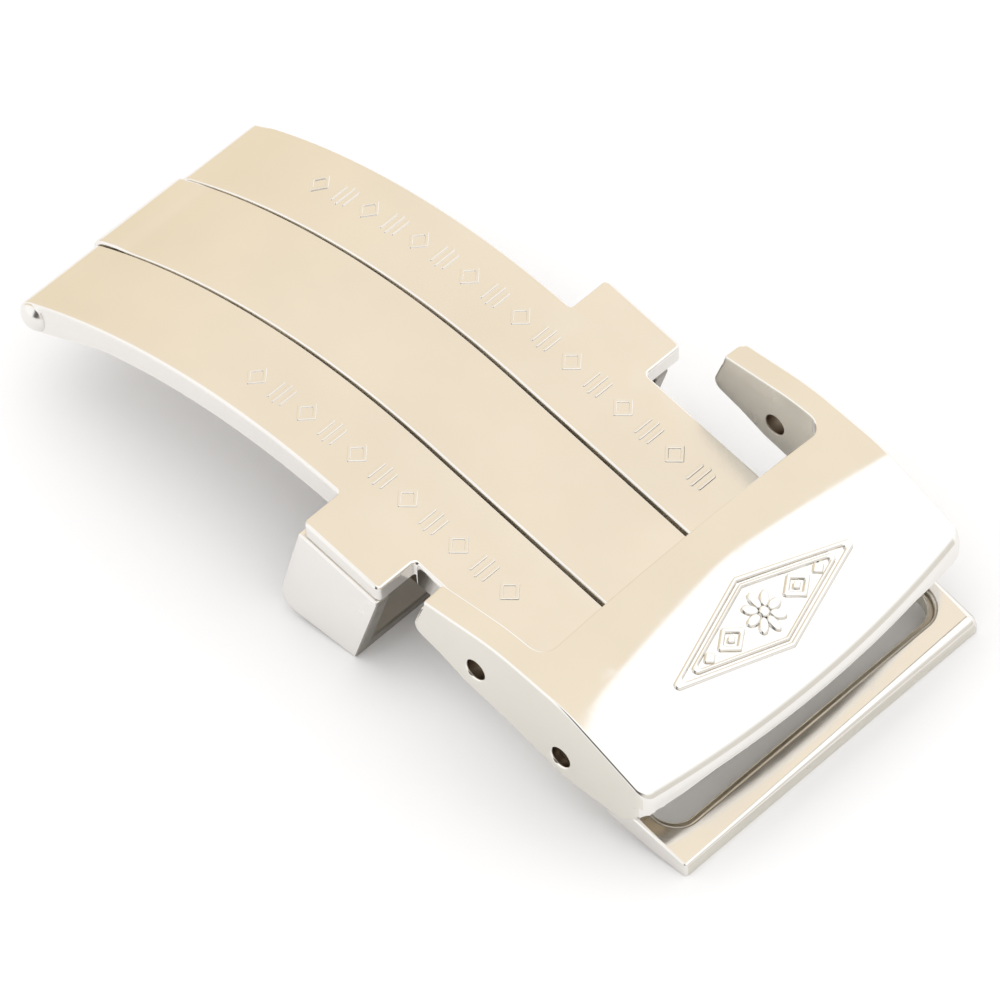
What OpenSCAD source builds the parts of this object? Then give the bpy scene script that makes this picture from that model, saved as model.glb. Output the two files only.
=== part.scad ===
// Folding watch clasp, closed: arched outer blade, centre blade, hollow cover and strap keeper.
// The origin is below the middle of the clasp, on the table it stands on; x runs along the clasp.

/* [Strap fit] */
// Clear width between the two cover arms, where the strap end sits
strap_gap = 20.1; // [19.9:0.1:20.3]
// Diameter of the hole for the strap bar in each cover arm
bar_hole_d = 1.15; // [1:0.05:1.4]
// Inner width of the keeper channel that the strap end passes through
keeper_gap = 19.2; // [18.8:0.1:19.4]
// Length of the strap slot in the end frame, across the clasp
slot_length = 19.2; // [17:0.2:19.2]

/* [Blades] */
// Width of the outer blade over its two side strips
blade_width = 16.66; // [16.2:0.1:17]
// Thickness of both blades
blade_thickness = 1.45; // [1.3:0.05:1.55]
// Width of the centre blade at the hinge
centre_width = 6; // [5.6:0.1:6.2]
// How much narrower the centre blade is at its free end
centre_taper = 0.26; // [0:0.02:0.4]
// Gap on each side between the centre blade and a side strip, at the hinge
centre_gap = 0.12; // [0.1:0.01:0.3]
// Diameter of the pin that joins the two blades
hinge_pin_d = 1; // [0.8:0.05:1.1]
// Radial play of each moving pivot
pivot_play = 0.05; // [0.03:0.01:0.08]

/* [Wings and end frame] */
// Width over the two wings that carry the keeper
wing_width = 21.8; // [21.6:0.1:22]
// Thickness of the wings
wing_thickness = 0.85; // [0.7:0.05:1]
// Width of the end frame that stands out under the cover
frame_width = 21.4; // [20.6:0.1:21.6]
// Depth of the step around the strap slot
slot_step = 0.3; // [0.1:0.05:0.4]

/* [Keeper] */
// Thickness of the keeper side walls
keeper_wall = 0.9; // [0.7:0.05:1]
// Thickness of the keeper floor
keeper_floor = 0.8; // [0.6:0.05:1]
// Sideways set of the keeper from the middle of the clasp
keeper_shift = -0.55; // [-0.6:0.05:0]
// Diameter of the peg that catches a strap hole
peg_d = 1.2; // [1:0.1:1.6]
// Height of the peg above the keeper floor
peg_height = 1.9; // [1.4:0.1:2.2]

/* [Cover] */
// Thickness of each cover arm
arm_thickness = 1.45; // [1.2:0.05:1.6]
// Thickness of the cover plate
plate_thickness = 1; // [0.8:0.05:1.2]
// Rise of the cover plate in the middle over its edges
cover_crown = 0.5; // [0.3:0.05:0.7]
// Diameter of the pin that the cover turns on
cover_pin_d = 1.15; // [1:0.05:1.3]
// How far each end of the cover pin lies inside the arm
pin_recess = 0.5; // [0.2:0.05:0.7]
// Width of the bright chamfer around each arm hole
hole_chamfer = 0.15; // [0.05:0.05:0.2]

/* [Hidden] */
$fn = 96;
// Blade arch: radius of the top face, the point where it ends and the straight slope that follows it
arch_r = 35.74;
arch_end = 16.4;
arch_foot = [0.57, 6.81];
arch = arch_foot - arch_r * [sin(arch_end), cos(arch_end)];
slope = 14.7;
arch_lap = 0.6;
straight_thinner = 0.05;
straight_top = arch + arch_r * cos(arch_end - slope) * [sin(slope), cos(slope)];
// Blade hinge at the left end, below the top face
hinge_turn = -21.71;
hinge_depth = 0.92;
hinge = arch + (arch_r - hinge_depth) * [sin(hinge_turn), cos(hinge_turn)];
barrel_r = 0.9;
centre_barrel_r = 1.1;
underside = 22.4;
underside_run = 4.2;
underside_inset = 0.96;
head_r = 0.87;
head_rise = 0.42;
head_ball_r = (head_r * head_r + head_rise * head_rise) / (2 * head_rise);
// Lengthwise stations of the outer blade
wing_left = -1.3;
wing_right = 3.7;
wing_corner_r = 0.3;
bar_left = 17.05;
opening_flare = 0.2;
frame_left = 18.2;
slot_left = 18.9;
slot_right = 21.7;
step_right = 22.08;
step_beyond = 0.45;
blade_end = 23.55;
frame_corner_r = 0.4;
end_edge_r = 0.35;
end_edge_break = 0.02;
slot_corner_r = 1.3;
taper_start = [15.9, 1.29];
taper_bend = [21.7, 0.16];
// Centre blade end and the lug that carries the cover pin
centre_end = 16.7;
lug = [16.14, 3.72];
lug_r = 1.2;
bar_hole = [10.64, 5.9];
// Keeper outline
keeper_top_left = -1.5;
keeper_top_right = 3.75;
keeper_low_left = [-3.02, 0.31];
keeper_low_right = [2.05, 0];
keeper_bend_r = 1.1;
peg_x = 0.7;
peg_foot = 0.16;
// Cover faces from left to right: a point that each one passes at the long edges, and its fall
cover_points = [
    [10, 8.38],
    [10.9, 8.37],
    [11.8, 8.305],
    [12.7, 8.173],
    [14.8, 7.712],
    [16.6, 7.307],
    [17.1, 7.138],
    [18.2, 6.614]
];
cover_falls = [0, 2.1, 6.4, 10.6, 12.7, 17.2, 21.8, 26.3];
plate_left = 13.85;
plate_left_top = 8.43;
plate_bevel = 0.3;
bow_r = 63;
bow_end = 22.8;
bow_turn = 30;
bow_edge_r = 0.8;
bow_edge_z = 4.35;
bow_corner_r = 0.9;
bow_corner_break = 0.02;
arm_tip = [7.62, 8.08];
arm_tip_r = 0.4;
arm_heel = [7.25, 6.4];
arm_heel_r = 0.6;
arm_under = [
    [8.3, 5.38],
    [9.9, 4.63],
    [12.54, 3.83],
    [15.3, 2.88],
    [16.3, 2.5],
    [18.1, 2.35],
    [20.1, 2.24],
    [21.6, 3.38]
];
arm_lip = [22.05, 3.78];

half_blade = blade_width / 2;
half_centre = centre_width / 2;
half_centre_end = half_centre - centre_taper / 2;
half_opening = half_centre + centre_gap;
half_frame = frame_width / 2;
half_wing = wing_width / 2;
half_gap = strap_gap / 2;
half_cover = half_gap + arm_thickness;
half_keeper = keeper_gap / 2 + keeper_wall;
bore_r = hinge_pin_d / 2 + pivot_play;
lug_bore_r = cover_pin_d / 2 + pivot_play;
pin_end = half_cover - pin_recess;
// Larger than any part of the clasp
far = 60;

// Points along an arc in the side view
function arc(centre, r, from, to, steps) = [
    for (i = [0:steps])
        let (a = from + (to - from) * i / steps)
            centre + r * [cos(a), sin(a)]
];

// Height of the straight top face of the blades at a station
function top_z(x) = straight_top[1] - (x - straight_top[0]) * tan(slope);

// Height of the underside plane of the wings at a station
function wing_under(x) = top_z(x) - wing_thickness / cos(slope);

// Shape drawn in x and z, carried across the clasp
module across(y_from, y_to)
    translate([0, y_to, 0])
        rotate([90, 0, 0])
            linear_extrude(y_to - y_from)
                children();

// Shape drawn in x and y, carried up through the clasp
module upright()
    translate([0, 0, -far])
        linear_extrude(2 * far)
            children();

module round_hole(place, r, y_from, y_to)
    across(y_from, y_to)
        translate(place)
            circle(r);

// Rectangle with round corners
module round_plate(left, right, half, r) {
    translate([left, r - half])
        square([right - left, 2 * (half - r)]);
    translate([left + r, -half])
        square([right - left - 2 * r, 2 * half]);
    for (x = [left + r, right - r], y = [r - half, half - r])
        translate([x, y])
            circle(r);
}

// Waste below the line to which the right end of the outer blade tapers
module taper_waste()
    across(-far, far)
        polygon([
            taper_start,
            taper_bend,
            [blade_end, 0],
            [blade_end + 1, 0],
            [blade_end + 1, -5],
            [taper_start[0] - 1, -5],
            [taper_start[0] - 1, taper_start[1] + 0.2]
        ]);

// Side view of a blade up to a station, with the barrel of its hinge
module blade_side(x_end, r) {
    foot = hinge + underside_inset * r * [sin(underside), -cos(underside)];
    rise = underside_run * tan(underside);
    drop = (blade_thickness - straight_thinner) / cos(slope);
    intersection() {
        difference() {
            translate(arch)
                circle(arch_r, $fn = 720);
            translate(arch)
                circle(arch_r - blade_thickness, $fn = 720);
        }
        polygon([
            arch,
            arch + far * [sin(hinge_turn), cos(hinge_turn)],
            arch + 2 * far * [0, 1],
            arch + far * [sin(arch_end + arch_lap), cos(arch_end + arch_lap)]
        ]);
    }
    polygon([
        straight_top,
        straight_top - drop * [sin(slope), cos(slope)] * cos(slope),
        [x_end, top_z(x_end) - drop],
        [x_end, top_z(x_end)]
    ]);
    translate(hinge)
        circle(r);
    polygon([
        hinge,
        foot,
        foot + [underside_run, rise],
        foot + [underside_run, rise + 0.9],
        hinge + [1.6, 0.9]
    ]);
}

// Plan of the outer blade with the opening for the centre blade and the strap slot
module outer_plan()
    difference() {
        union() {
            translate([hinge[0] - 2, -half_blade])
                square([slot_left - hinge[0] + 2, blade_width]);
            round_plate(wing_left, wing_right, half_wing, wing_corner_r);
            round_plate(frame_left, blade_end, half_frame, frame_corner_r);
        }
        polygon([
            [hinge[0] - 3, -half_opening],
            [bar_left, -half_opening - opening_flare],
            [bar_left, half_opening + opening_flare],
            [hinge[0] - 3, half_opening]
        ]);
        round_plate(slot_left, slot_right, slot_length / 2, slot_corner_r);
    }

// Room below each wing, which is thinner than the blade
module below_wings()
    for (side = [-1, 1])
        across(min(side * half_blade, side * far), max(side * half_blade, side * far))
            polygon([
                [wing_left - 2, wing_under(wing_left - 2)],
                [wing_left - 2, -1],
                [wing_right + 2, -1],
                [wing_right + 2, wing_under(wing_right + 2)]
            ]);

// Shallow step around the right side of the strap slot
module slot_rim()
    intersection() {
        upright()
            round_plate(slot_left, step_right, slot_length / 2 + step_beyond, slot_corner_r);
        across(-far, far)
            polygon([
                [slot_left - 1, top_z(slot_left - 1) - slot_step],
                [blade_end, top_z(blade_end) - slot_step],
                [blade_end, far],
                [slot_left - 1, far]
            ]);
    }

// Waste outside the rounded upper edge at the right end of the blade
module end_edge() {
    inset = end_edge_r - end_edge_break;
    place = [blade_end - inset, top_z(blade_end - inset) - inset / cos(slope)];
    across(-far, far)
        difference() {
            polygon([
                place,
                place + 2 * [sin(slope), cos(slope)],
                place + [2, 2],
                place + [2, 0]
            ]);
            translate(place)
                circle(end_edge_r);
        }
}

module outer_blade()
    color([0.9, 0.86, 0.8])
        difference() {
            intersection() {
                across(-far, far)
                    blade_side(blade_end, barrel_r);
                upright()
                    outer_plan();
            }
            taper_waste();
            below_wings();
            slot_rim();
            end_edge();
            round_hole(hinge, hinge_pin_d / 2, -far, far);
        }

// Side view of the raised lug at the free end of the centre blade
module lug_side() {
    translate(lug)
        circle(lug_r);
    polygon([
        lug + [-lug_r * 0.97, 0.2],
        lug + [-2.4, -1.2],
        lug + [-1.2, -1.6],
        lug + [0.35, -1.9],
        lug + [lug_r * 0.75, -0.6]
    ]);
}

module centre_blade()
    color([0.88, 0.84, 0.78])
        difference() {
            union() {
                intersection() {
                    across(-far, far)
                        blade_side(centre_end, centre_barrel_r);
                    upright()
                        polygon([
                            [hinge[0] - 2, -half_centre],
                            [centre_end, -half_centre_end],
                            [centre_end, half_centre_end],
                            [hinge[0] - 2, half_centre]
                        ]);
                }
                across(-half_centre_end, half_centre_end)
                    lug_side();
            }
            round_hole(hinge, bore_r, -far, far);
            round_hole(lug, lug_bore_r, -far, far);
        }

module hinge_pin()
    color([0.8, 0.79, 0.77]) {
        round_hole(hinge, hinge_pin_d / 2, -half_blade - 0.1, half_blade);
        intersection() {
            translate([hinge[0], head_ball_r - half_blade - head_rise, hinge[1]])
                sphere(head_ball_r);
            round_hole(hinge, head_r, -half_blade - 1, -half_blade);
        }
    }

// Side view of the keeper, its top on the underside of the wings
module keeper_side()
    polygon(concat(
        [
            [keeper_top_right, wing_under(keeper_top_right)],
            [keeper_top_left, wing_under(keeper_top_left)]
        ],
        arc(keeper_low_left + keeper_bend_r * [1.1, 1.02], keeper_bend_r, 166, 268, 8),
        [keeper_low_right]
    ));

module strap_keeper()
    color([0.86, 0.83, 0.79])
        difference() {
            across(keeper_shift - half_keeper, keeper_shift + half_keeper)
                keeper_side();
            across(keeper_shift - keeper_gap / 2, keeper_shift + keeper_gap / 2)
                polygon([
                    keeper_low_left + [-far, keeper_floor],
                    keeper_low_left + [0, keeper_floor],
                    keeper_low_right + [0, keeper_floor],
                    keeper_low_right + [far, keeper_floor],
                    [far, far],
                    [-far, far]
                ]);
            translate([peg_x, 0, -far])
                cylinder(h = 2 * far, d = peg_d);
        }

module strap_peg()
    color([0.8, 0.79, 0.77]) {
        top = keeper_floor + peg_height;
        translate([peg_x, 0, peg_foot])
            cylinder(h = top - peg_foot, d = peg_d);
        translate([peg_x, 0, top])
            sphere(d = peg_d);
    }

// All that lies below the crowned faces of the cover, set down by a drop
module below_cover_faces(drop) {
    crown_r = (half_cover * half_cover + cover_crown * cover_crown) / (2 * cover_crown);
    intersection_for (i = [0:len(cover_falls) - 1])
        translate([cover_points[i][0], 0, cover_points[i][1]])
            rotate([0, cover_falls[i], 0])
                translate([-far, 0, cover_crown - crown_r - drop])
                    rotate([0, 90, 0])
                        cylinder(h = 2 * far, r = crown_r, $fn = 1440);
}

// Side view of the cover arms
module arm_side()
    polygon(concat(
        [[far, arm_lip[1]], [far, far], [arm_tip[0] + arm_tip_r, far]],
        arc(arm_tip, arm_tip_r, 90, 170, 6),
        arc(arm_heel, arm_heel_r, 161, 250, 6),
        arm_under,
        [arm_lip]
    ));

// Bowed right end of the cover with its rounded upper edge
module bowed_end()
    translate([bow_end - bow_r, 0, 0])
        rotate([0, 0, -bow_turn / 2])
            rotate_extrude(angle = bow_turn, $fn = 720) {
                translate([bow_r - far, -far])
                    square([far - bow_edge_r, 2 * far]);
                translate([bow_r - far, -far])
                    square([far, bow_edge_z + far]);
                translate([bow_r - bow_edge_r, bow_edge_z])
                    circle(bow_edge_r, $fn = 48);
            }

// Waste outside the two upright corners at the right end of the cover
module bow_corners() {
    inset = bow_corner_r - bow_corner_break;
    y = half_cover - inset;
    x = bow_end - bow_r + sqrt(pow(bow_r - inset, 2) - y * y);
    upright()
        for (side = [-1, 1])
            scale([1, side])
                polygon(concat(
                    arc([x, y], bow_corner_r, 0, 90, 4),
                    [[x, far], [far, far], [far, y]]
                ));
}

// Hole through both arms, with a chamfer on each outer face
module arm_hole(place, d) {
    round_hole(place, d / 2, -far, far);
    for (side = [-1, 1])
        translate([place[0], side * (half_cover - hole_chamfer), place[1]])
            rotate([-side * 90, 0, 0])
                cylinder(h = 2 * hole_chamfer, r1 = d / 2, r2 = d / 2 + 2 * hole_chamfer);
}

module cover()
    color([0.92, 0.89, 0.84])
        difference() {
            intersection() {
                below_cover_faces(0);
                across(-half_cover, half_cover)
                    arm_side();
                bowed_end();
            }
            intersection() {
                below_cover_faces(plate_thickness);
                across(-half_gap, half_gap)
                    translate([0, -far])
                        square(2 * far);
            }
            across(-half_gap, half_gap)
                polygon([
                    [-far, -far],
                    [plate_left, -far],
                    [plate_left, plate_left_top - plate_bevel],
                    [plate_left + plate_bevel, plate_left_top],
                    [plate_left + plate_bevel, far],
                    [-far, far]
                ]);
            bow_corners();
            arm_hole(bar_hole, bar_hole_d);
            arm_hole(lug, cover_pin_d);
        }

module cover_pin()
    color([0.6, 0.56, 0.5])
        round_hole(lug, cover_pin_d / 2, -pin_end, pin_end);

outer_blade();
centre_blade();
hinge_pin();
strap_keeper();
strap_peg();
cover();
cover_pin();
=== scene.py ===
from math import asin, atan2, ceil, cos, pi, radians, sin, sqrt, tan

import bmesh
import bpy
from mathutils import Matrix, Vector
from mathutils.geometry import tessellate_polygon


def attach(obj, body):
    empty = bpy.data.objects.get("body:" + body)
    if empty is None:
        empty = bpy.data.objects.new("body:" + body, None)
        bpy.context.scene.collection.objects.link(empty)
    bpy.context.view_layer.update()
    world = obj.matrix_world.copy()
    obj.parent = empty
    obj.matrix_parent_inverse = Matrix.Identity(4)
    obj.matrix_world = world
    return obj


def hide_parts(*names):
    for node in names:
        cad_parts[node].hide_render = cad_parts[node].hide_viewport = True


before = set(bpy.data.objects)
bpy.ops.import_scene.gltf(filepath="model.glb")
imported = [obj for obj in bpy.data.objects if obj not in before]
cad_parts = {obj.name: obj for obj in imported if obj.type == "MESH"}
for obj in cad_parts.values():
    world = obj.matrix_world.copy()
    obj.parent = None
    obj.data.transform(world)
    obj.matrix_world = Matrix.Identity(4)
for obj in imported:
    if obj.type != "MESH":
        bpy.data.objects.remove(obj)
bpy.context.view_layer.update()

# Folding watch clasp. Sizes are in mm, and each mesh is scaled to metres when it is made.
MM = 0.001

# Blades: the arched top face, the straight slope after it, the hinge at its left end, the wings
# for the keeper, the end frame with the strap slot, and the taper below it
ARCH_R = 35.74
ARCH_END = radians(16.4)
ARCH_FOOT = Vector((0.57, 6.81))
SLOPE = radians(14.7)
HINGE_TURN = radians(-21.71)
HINGE_DEPTH = 0.92
BLADE_THICK = 1.45
HALF_BLADE = 8.33
HALF_CENTRE = 3.0
CENTRE_TAPER = 0.08
SLOT_GAP = 0.12
BARREL_R = 0.9
CENTRE_BARREL_R = 1.1
BARREL_REACH = -15.0
LIFT_LEFT, LIFT_RIGHT = -22.3, -20.6
UNDERSIDE = radians(22.4)
WING_LEFT, WING_RIGHT = -1.3, 3.7
HALF_WING = 10.9
WING_THICK = 0.85
BAR_LEFT = 17.05
BAR_CORNER = 0.25
OPENING_FLARE = 0.06
FRAME_LEFT = 18.2
SLOT_LEFT, SLOT_RIGHT = 18.9, 21.7
STEP_RIGHT = 21.98
HALF_SLOT = 9.6
STEP_BEYOND = 0.18
SLOT_CORNER = 1.3
SLOT_STEP = 0.3
HALF_FRAME = 10.7
BLADE_END = 23.55
INNER_CORNER, WING_CORNER = 0.2, 0.3
FRAME_INNER_CORNER, FRAME_CORNER = 0.3, 0.4
END_CORNER_NEAR, END_CORNER_FAR = 0.2, 0.48
TAPER_START = Vector((15.9, 1.29))
TAPER_BEND = Vector((21.7, 0.16))
CENTRE_END = 16.7
CENTRE_CORNER = 0.3

# Lug below the end of the centre blade: corners of its foot with their fillets, then its round end
LUG = Vector((16.14, 3.72))
LUG_R = 1.2
LUG_FOOT = ((13.6, 2.6, 0.1), (14.94, 2.12, 0.1), (16.49, 1.82, 0.3), (17.1, 2.85, 0.5))
LUG_ROUND_FROM, LUG_ROUND_TURN = -15, 175
PIVOT_BORE_R = 0.625

# Hinge pin with its domed head
PIN_R = 0.5
PIN_PROUD = 0.03
PIN_CHAMFER = 0.05
HEAD_R = 0.84
HEAD_RISE = 0.42
HEAD_RIM = 0.03

# Keeper below the wings, and the strap peg on its floor
KEEPER_SHIFT = -0.55
KEEPER_HALF = 10.5
KEEPER_WALL = 0.9
KEEPER_FLOOR = 0.8
KEEPER_TOP_LEFT, KEEPER_TOP_RIGHT = -1.5, 3.75
KEEPER_LOW_LEFT = Vector((-3.02, 0.31))
KEEPER_LOW_RIGHT = Vector((2.05, 0.0))
KEEPER_BEND = 1.1
KEEPER_BEND_CENTRE = KEEPER_LOW_LEFT + KEEPER_BEND * Vector((1.1, 1.02))
KEEPER_CORNER = 0.15
PEG = Vector((0.7, 0.0))
PEG_R = 0.6
PEG_TOP = 2.7
PEG_FOOT = 0.16

# Cover: its long edges are level, then fall as the stations say, each an x and the slope in degrees
# that is reached there. Then its corners in plan, its plate and its bowed right end
COVER_LEVEL = 8.38
COVER_SLOPE = 26.3
COVER_STATIONS = ((10.6, 0.0), (13.14, 12.0), (15.4, 12.0), (17.6, COVER_SLOPE))
COVER_CORNER = 0.85
TIP_CORNER = 0.5
SMALL_TIP_CORNER = 0.25
GAP_CORNER = 0.9
HALF_COVER = 11.5
HALF_GAP = 10.05
CROWN = 0.5
PLATE = 1.1
PLATE_FLOOR = 3.78
PLATE_LEFT = 13.85
BOW_R = 63.0
BOW_END = 22.8
COVER_LEFT = 7.22
LEVEL_END, BENDS_END = 10.5, 17.4

# Arms of the cover in side view: the hole for the strap's bar, the corners of the underside, the
# rounded tip, and the slant and lean of the left end
BAR_HOLE = Vector((10.64, 5.9))
HOLE_R = 0.575
ARM_UNDER = (
    (8.3, 5.38), (9.9, 4.63), (12.54, 3.83), (15.3, 2.88),
    (16.3, 2.5), (18.1, 2.35), (20.1, 2.24), (21.6, 3.38),
)
ARM_RIGHT = (22.0, 3.79)
ARM_TIP = Vector((7.25, 6.4))
ARM_TIP_R = 0.6
ARM_INSET = 0.003
TIP_BEND = 8.15
TIP_SLANT = 0.37 / 1.68
TIP_LEAN = 0.35

# Cover pin: how deep it lies in the arms
COVER_PIN_INSET = 0.5
COVER_PIN_CHAMFER = 0.08

# Relief on the cover: its middle, its height and the sizes of its forms.
# A lozenge is half its length along x, half its length along y and the fillet of its corners.
ORNAMENT_X = 19.0
RELIEF = 0.18
RELIEF_EDGE = 0.09
ORNAMENT_HALF_X, ORNAMENT_HALF_Y = 2.0, 6.9
OUTER_RING, INNER_RING = (0, 0.22), (0.36, 0.17)
PETALS = 8
PETAL_REACH_X, PETAL_REACH_Y = 0.72, 0.74
PETAL_LONG, PETAL_WIDE = 0.42, 0.24
BUTTON_R = 0.26
BUTTON_RELIEF = RELIEF + 0.05
NESTED_Y, END_Y = 2.35, 3.9
NESTED_OUTER, NESTED_INNER = (0.66, 1.0, 0.12), (0.38, 0.58, 0.06)
NESTED_CORE, END_LOZENGE = (0.19, 0.29, 0.06), (0.3, 0.42, 0.09)

# Marks on the side strips: a row is its y, its first x and its last x
MARK_ROWS = ((-6.0, -9.0, 7.8), (6.0, -16.2, 9.4))
MARK_STEP = 1.75
MARK_HEIGHT = 0.06
MARK_EDGE = 0.045
MARK_OUTER, MARK_INNER = (0.62, 0.74, 0.08), (0.38, 0.46, 0.05)
BAR_HALF_WIDE = 0.09
BAR_FILLET = 0.07
BAR_GAP = 0.4
MIDDLE_BAR, SIDE_BAR = 0.74, 0.62

# Rounding of the worn edges
EDGE = 0.14
NEAR_EDGE = 0.24
FINE_EDGE = 0.07
TOWARDS_EDGE = 0.2
AWAY_EDGE = 0.03
END_EDGE = 0.26
BARREL_EDGE = 0.25
FRAME_EDGE_GROWS = 0.4
END_EDGE_LONG = 0.7
STEP_EDGE = 0.28
LOW_EDGE = 0.06
COVER_EDGE = 0.15
HOLE_EDGE = 0.08
NO_EDGE = 0.01

# Solids that meet keep this far apart, so that no two faces lie in one plane
PARTED = 0.004

# Round solids start and end on a ring of this radius
POINT_R = 0.002

# A normal is kept where it agrees with its face, or where the face is smaller than a sliver
AGREES = 0.5
SLIVER = 0.0002
NO_AREA = 1e-9

ARCH = ARCH_FOOT - ARCH_R * Vector((sin(ARCH_END), cos(ARCH_END)))
HINGE = ARCH + (ARCH_R - HINGE_DEPTH) * Vector((sin(HINGE_TURN), cos(HINGE_TURN)))
STRAIGHT_X = ARCH.x + ARCH_R * sin(SLOPE)
STRAIGHT_Z = ARCH.y + ARCH_R * cos(SLOPE)

# Camera of the photograph: turn, height and roll of the view, its distance, the pixels of a mm at the
# aim, the aim and its point in the image, and the widths of the image and of the sensor
VIEW_TURN = radians(43.6835)
VIEW_HEIGHT = radians(47.3578)
VIEW_ROLL = radians(1.457)
VIEW_DISTANCE = 507.7
VIEW_SCALE = 20.618
VIEW_AIM = Vector((7.3, 0.0, 8.38))
VIEW_AIM_PX = (584.78, 470.06)
IMAGE_PX = 1000
SENSOR = 36


def blade_top(x):
    """Height of the top face of the blades: the arch, then the straight slope."""
    if x >= STRAIGHT_X:
        return STRAIGHT_Z - (x - STRAIGHT_X) * tan(SLOPE)
    return ARCH.y + sqrt(ARCH_R ** 2 - (x - ARCH.x) ** 2)


def smooth(low, high, x):
    """Share that grows softly from 0 to 1 between two values."""
    t = min(max((x - low) / (high - low), 0.0), 1.0)
    return t * t * (3 - 2 * t)


def slope_of(height, x, y):
    """Gradient of a height over the plan, by a small step each way."""
    h = 0.02
    return (
        (height(x + h, y) - height(x - h, y)) / (2 * h),
        (height(x, y + h) - height(x, y - h)) / (2 * h),
    )


def round_outline(corners, steps=5):
    """Closed outline of (point, outward normal) pairs.
    A corner is (x, y, fillet radius), or (x, y, 0, normal) where the outline runs on smoothly."""
    points = [Vector(c[:2]) for c in corners]
    made = []
    for i, (p, corner) in enumerate(zip(points, corners)):
        before = (p - points[i - 1]).normalized()
        after = (points[(i + 1) % len(points)] - p).normalized()
        n0 = Vector((before.y, -before.x))
        n1 = Vector((after.y, -after.x))
        if len(corner) == 4:
            made.append((p, Vector(corner[3])))
            continue
        if not corner[2]:
            made.append((p, (n0 + n1).normalized()))
            continue
        turn = atan2(before.cross(after), before.dot(after))
        side = 1 if turn > 0 else -1
        centre = p - before * corner[2] * tan(abs(turn) / 2) - side * corner[2] * n0
        for k in range(steps + 1):
            n = Matrix.Rotation(turn * k / steps, 2) @ n0
            made.append((centre + side * corner[2] * n, n))
    return made


def ring_outline(centre, radius, steps=32, hole=True):
    """Round outline, run the other way for a hole."""
    made = []
    for k in range(steps):
        a = 2 * pi * k / steps * (-1 if hole else 1)
        out = Vector((cos(a), sin(a)))
        made.append((Vector(centre) + radius * out, -out if hole else out))
    return made


def slab(loops, cuts_u=(), cuts_v=(), cuts_w=(), steps=3):
    """Flat solid, one unit thick, with rounded edges.
    A loop is (outline, top edge radius, low edge radius), the outer one first.
    Points carry how far they lie below the top face, or above the low one, and their flat normal."""
    bm = bmesh.new()
    keys = [bm.verts.layers.float.new(k) for k in ("rise", "low", "nu", "nv", "nw")]
    caps = ([], [])
    for outline, top_r, low_r in loops:
        rings = []
        for low, radius in ((0, top_r), (1, low_r)):
            for k in range(steps + 1):
                phi = pi / 2 * (steps - k if low else k) / steps
                ring = []
                for p, n in outline:
                    r = radius(p, n) if callable(radius) else radius
                    q = p - n * r * (1 - sin(phi))
                    rise = r * (1 - cos(phi))
                    v = bm.verts.new((q.x, q.y, rise - 1 if low else -rise))
                    facts = (rise, low, n.x * sin(phi), n.y * sin(phi), -cos(phi) if low else cos(phi))
                    for key, value in zip(keys, facts):
                        v[key] = value
                    ring.append(v)
                rings.append(ring)
        for upper, lower in zip(rings, rings[1:]):
            for i in range(len(upper)):
                bm.faces.new((lower[i - 1], lower[i], upper[i], upper[i - 1]))
        caps[0].append(rings[0])
        caps[1].append(rings[-1])
    for low, rings in enumerate(caps):
        verts = [v for ring in rings for v in ring]
        for tri in tessellate_polygon([[v.co for v in ring] for ring in rings]):
            a, b, c = (verts[i] for i in tri)
            facing = (b.co - a.co).xy.cross((c.co - a.co).xy)
            if abs(facing) < NO_AREA:
                continue
            bm.faces.new((a, b, c) if (facing > 0) != bool(low) else (a, c, b))
    for cuts, axis in zip((cuts_u, cuts_v, cuts_w), Matrix.Identity(3)):
        for c in cuts:
            parts = [*bm.verts, *bm.edges, *bm.faces]
            bmesh.ops.bisect_plane(bm, geom=parts, plane_co=axis * c, plane_no=axis)
    return bm


def solid(bm, place):
    """(points, normals, faces) of a slab, each point set by place(u, v, rise, low, flat normal)."""
    keys = [bm.verts.layers.float[k] for k in ("rise", "low", "nu", "nv", "nw")]
    points, normals = [], []
    bm.verts.index_update()
    for v in bm.verts:
        rise, low, nu, nv, nw = (v[k] for k in keys)
        p, n = place(v.co.x, v.co.y, rise, low, Vector((nu, nv, nw)))
        points.append(p)
        normals.append(n.normalized())
    faces = [[v.index for v in f.verts] for f in bm.faces]
    bm.free()
    return points, normals, faces


def over(top, bottom):
    """Places a slab drawn in plan below the top height and above the bottom one."""
    def place(x, y, rise, low, n):
        height, sign = (bottom, 1) if low > 0.5 else (top, -1)
        gx, gy = slope_of(height, x, y)
        z = height(x, y) + sign * rise
        return Vector((x, y, z)), Vector((n.x - n.z * gx, n.y - n.z * gy, n.z))
    return place


def upright(y_near, y_far):
    """Places a slab drawn in side view, its top face towards the near side."""
    def place(x, z, rise, low, n):
        y = (1 - low) * (y_near + rise) + low * (y_far - rise)
        return Vector((x, y, z)), Vector((n.x, -n.z, n.y))
    return place


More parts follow.
